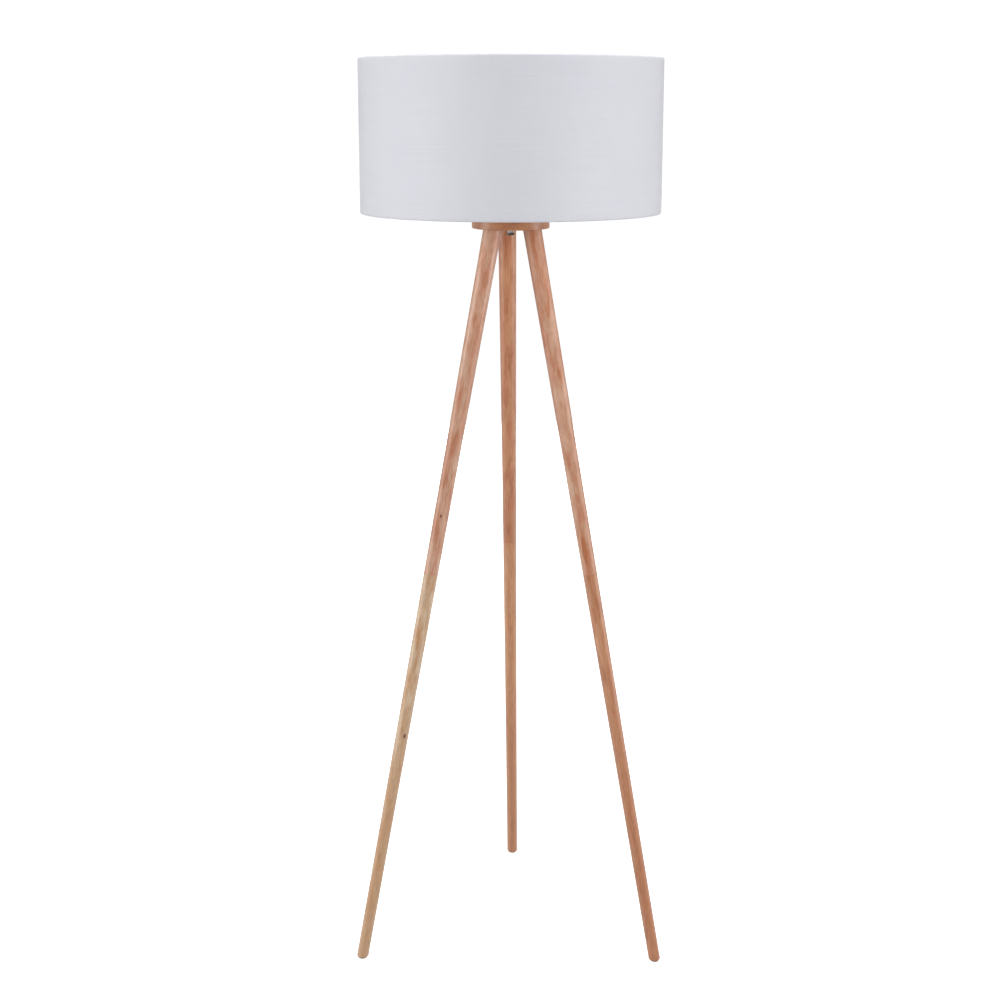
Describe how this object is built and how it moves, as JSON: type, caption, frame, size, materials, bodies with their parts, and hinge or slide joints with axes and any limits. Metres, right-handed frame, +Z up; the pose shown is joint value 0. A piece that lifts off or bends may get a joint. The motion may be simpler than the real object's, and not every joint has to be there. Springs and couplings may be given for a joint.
{
  "type": "tripod floor lamp",
  "caption": "Floor lamp with a fabric drum shade on three splayed turned wooden legs that screw into a round wooden plate.",
  "frame": {"origin": "on the floor, under the middle of the lamp, midway between the three feet", "axes": "+Z up along the lamp's axis, -Y towards the front, where two legs stand; the third leg is at +Y"},
  "size_m": [0.5299, 0.5544, 1.53],
  "materials": {
    "plate_wood": "satin lacquered wood",
    "upper_left_wood": "satin lacquered wood, pinkish",
    "upper_right_wood": "satin lacquered wood, reddish",
    "upper_rear_wood": "satin lacquered wood, reddish",
    "lower_left_wood": "satin lacquered wood, yellowish",
    "lower_right_wood": "satin lacquered wood",
    "lower_rear_wood": "satin lacquered wood",
    "pad_felt": "pressed felt",
    "insert_brass": "turned",
    "bolt_steel": "zinc plated",
    "zinc_steel": "zinc plated",
    "contact_brass": "stamped",
    "holder_plastic": "satin moulded",
    "bush_plastic": "satin moulded",
    "core_plastic": "matt moulded",
    "shade_cloth": "plain fine weave",
    "liner_plastic": "satin sheet",
    "shade_wire": "satin powder coat",
    "bulb_cap_metal": "rolled",
    "solder": "satin",
    "black_glass": "glossy",
    "bulb_plastic": "satin moulded",
    "opal": "opal diffuser",
    "board": "white solder mask"
  },
  "bodies": {
    "stand": {"centre_contact": "contact_brass", "contact_rivets": "contact_brass", "foot_pad_left": "pad_felt", "foot_pad_rear": "pad_felt", "foot_pad_right": "pad_felt", "holder_cap": "holder_plastic", "holder_core": "core_plastic", "holder_skirt": "holder_plastic", "joint_bolt_left": "bolt_steel", "joint_bolt_rear": "bolt_steel", "joint_bolt_right": "bolt_steel", "lamp_pipe": "zinc_steel", "leg_joint_inserts": "insert_brass", "lock_screw": "zinc_steel", "lower_leg_left": "lower_left_wood", "lower_leg_rear": "lower_rear_wood", "lower_leg_right": "lower_right_wood", "lower_nut": "zinc_steel", "lower_washer": "zinc_steel", "outlet_bush": "bush_plastic", "plate_inserts": "insert_brass", "screw_shell": "contact_brass", "terminal_blocks": "contact_brass", "terminal_screws": "bolt_steel", "top_bolt_left": "bolt_steel", "top_bolt_rear": "bolt_steel", "top_bolt_right": "bolt_steel", "top_plate": "plate_wood", "upper_leg_left": "upper_left_wood", "upper_leg_rear": "upper_rear_wood", "upper_leg_right": "upper_right_wood", "upper_nut": "zinc_steel", "upper_washer": "zinc_steel"},
    "shade": {"bottom_wire": "shade_wire", "fabric_cover": "shade_cloth", "shade_arm_1": "shade_wire", "shade_arm_2": "shade_wire", "shade_arm_3": "shade_wire", "shade_hub": "shade_wire", "shade_liner": "liner_plastic", "top_wire": "shade_wire"},
    "clamp_ring": {"clamp_ring": "holder_plastic"},
    "bulb_tip": {"bulb_contact": "solder", "bulb_insulator": "black_glass"},
    "bulb": {"bulb_cap": "bulb_cap_metal", "bulb_housing": "bulb_plastic", "bulb_globe": "opal", "led_board": "board"}
  },
  "joints": [
    {"name": "shade_turn", "type": "hinge", "parent": "stand", "child": "shade", "pos_m": [0, 0, 1.3125], "axis": [0, 0, 1], "continuous": true},
    {"name": "clamp_ring_turn", "type": "hinge", "parent": "stand", "child": "clamp_ring", "pos_m": [0, 0, 1.3145], "axis": [0, 0, 1], "range_deg": [0, 270]},
    {"name": "bulb_rise", "type": "slide", "parent": "stand", "child": "bulb_tip", "axis": [0, 0, 1], "range_m": [0, 0.0182]},
    {"name": "bulb_unscrew", "type": "hinge", "parent": "bulb_tip", "child": "bulb", "pos_m": [0, 0, 1.3155], "axis": [0, 0, 1], "range_deg": [0, 1800]}
  ],
  "couplings": [
    {"joint": "bulb_rise", "follows": "bulb_unscrew", "m_per_rad": 0.00057614}
  ]
}
